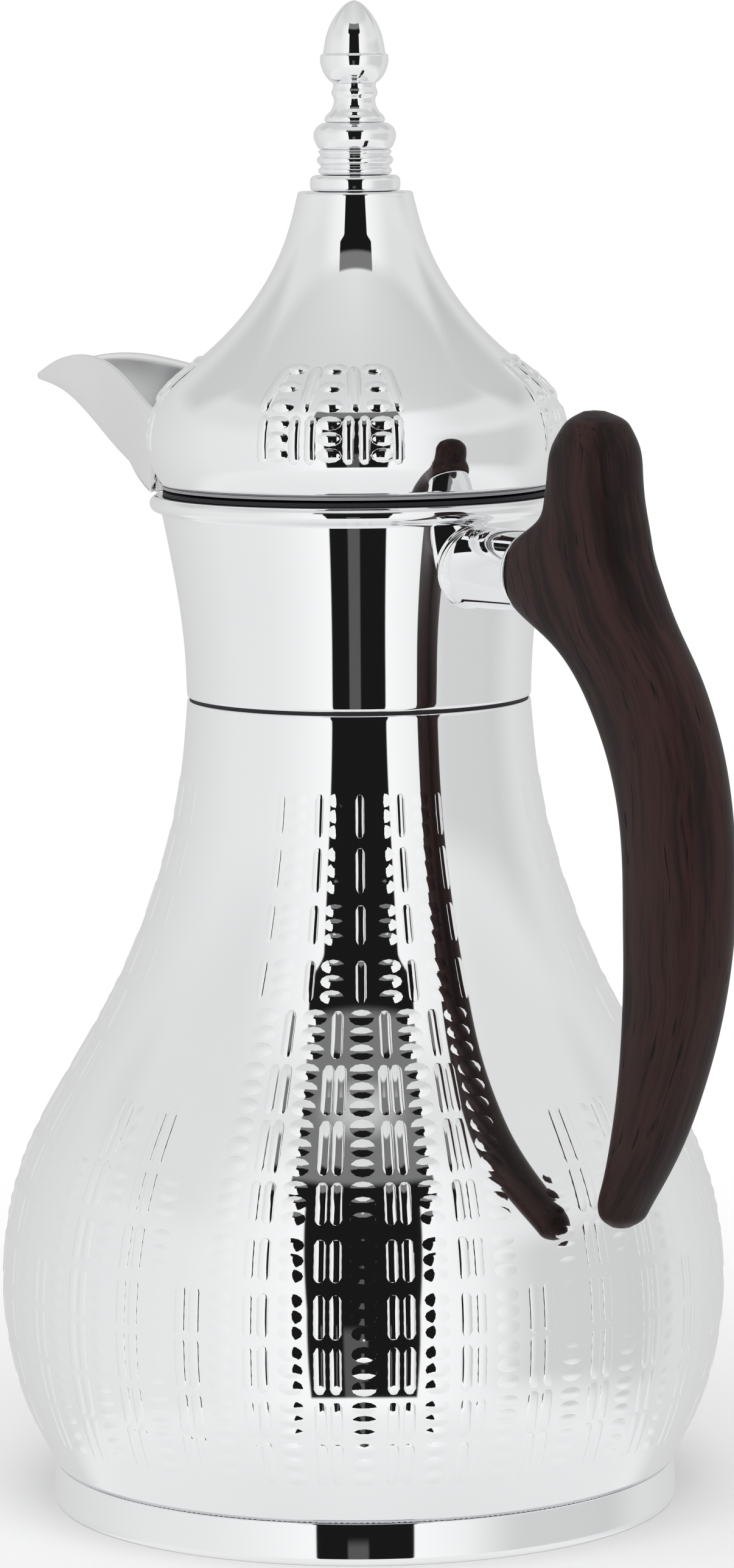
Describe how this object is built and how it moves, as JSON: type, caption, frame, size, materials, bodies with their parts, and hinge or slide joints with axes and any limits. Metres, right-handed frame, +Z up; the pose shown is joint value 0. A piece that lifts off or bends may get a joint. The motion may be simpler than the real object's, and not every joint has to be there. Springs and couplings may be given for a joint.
{
  "type": "dallah coffee pot",
  "caption": "Insulated coffee pot with a round belly, flared collar, beak spout, domed screw lid with a turned knob and a curved wooden handle.",
  "frame": {"origin": "on the pot's axis at the underside of the foot ring", "axes": "+Z up along the pot's axis, +X towards the handle, -X towards the spout"},
  "size_m": [0.2344, 0.156, 0.32],
  "materials": {
    "chrome": "polished",
    "wood": "satin lacquer",
    "black_plastic": "matte",
    "grey_plastic": "satin",
    "black_rubber": "matte",
    "silicone": "matte",
    "foam": "matte",
    "pad": "matte",
    "silvered_glass": "silvered",
    "steel": "plain",
    "brass": "plain"
  },
  "bodies": {
    "flask": {"base_ring": "chrome", "body_shell": "chrome", "collar_shell": "chrome", "spout": "chrome", "handle_stub": "chrome", "handle_grip": "wood", "stub_gasket": "black_rubber", "neck_coupling": "black_plastic", "neck_sleeve": "black_plastic", "glass_inner": "silvered_glass", "glass_outer": "silvered_glass", "spacer_pads": "pad", "neck_gasket": "silicone", "base_cushion": "black_rubber", "base_cap": "black_plastic", "handle_bolt": "steel", "saddle_washer": "steel", "handle_insert": "brass"},
    "seal": {"stopper_seal": "silicone"},
    "lid": {"lid_dome": "chrome", "lid_liner": "grey_plastic", "lid_foam": "foam", "finial_disc": "chrome", "finial_bead": "chrome", "finial_ring": "chrome", "finial_stem": "chrome", "finial_acorn": "chrome", "stopper_body": "black_plastic", "stopper_cap": "black_plastic", "stopper_foam": "foam", "tie_rod": "steel", "rod_washer": "steel", "rod_nut": "steel"}
  },
  "joints": [
    {"name": "lid_lift", "type": "slide", "parent": "flask", "child": "seal", "axis": [0, 0, 1], "range_m": [0, 0.12]},
    {"name": "lid_turn", "type": "hinge", "parent": "seal", "child": "lid", "pos_m": [0, 0, 0.2], "axis": [0, 0, 1], "range_deg": [0, 450]}
  ]
}
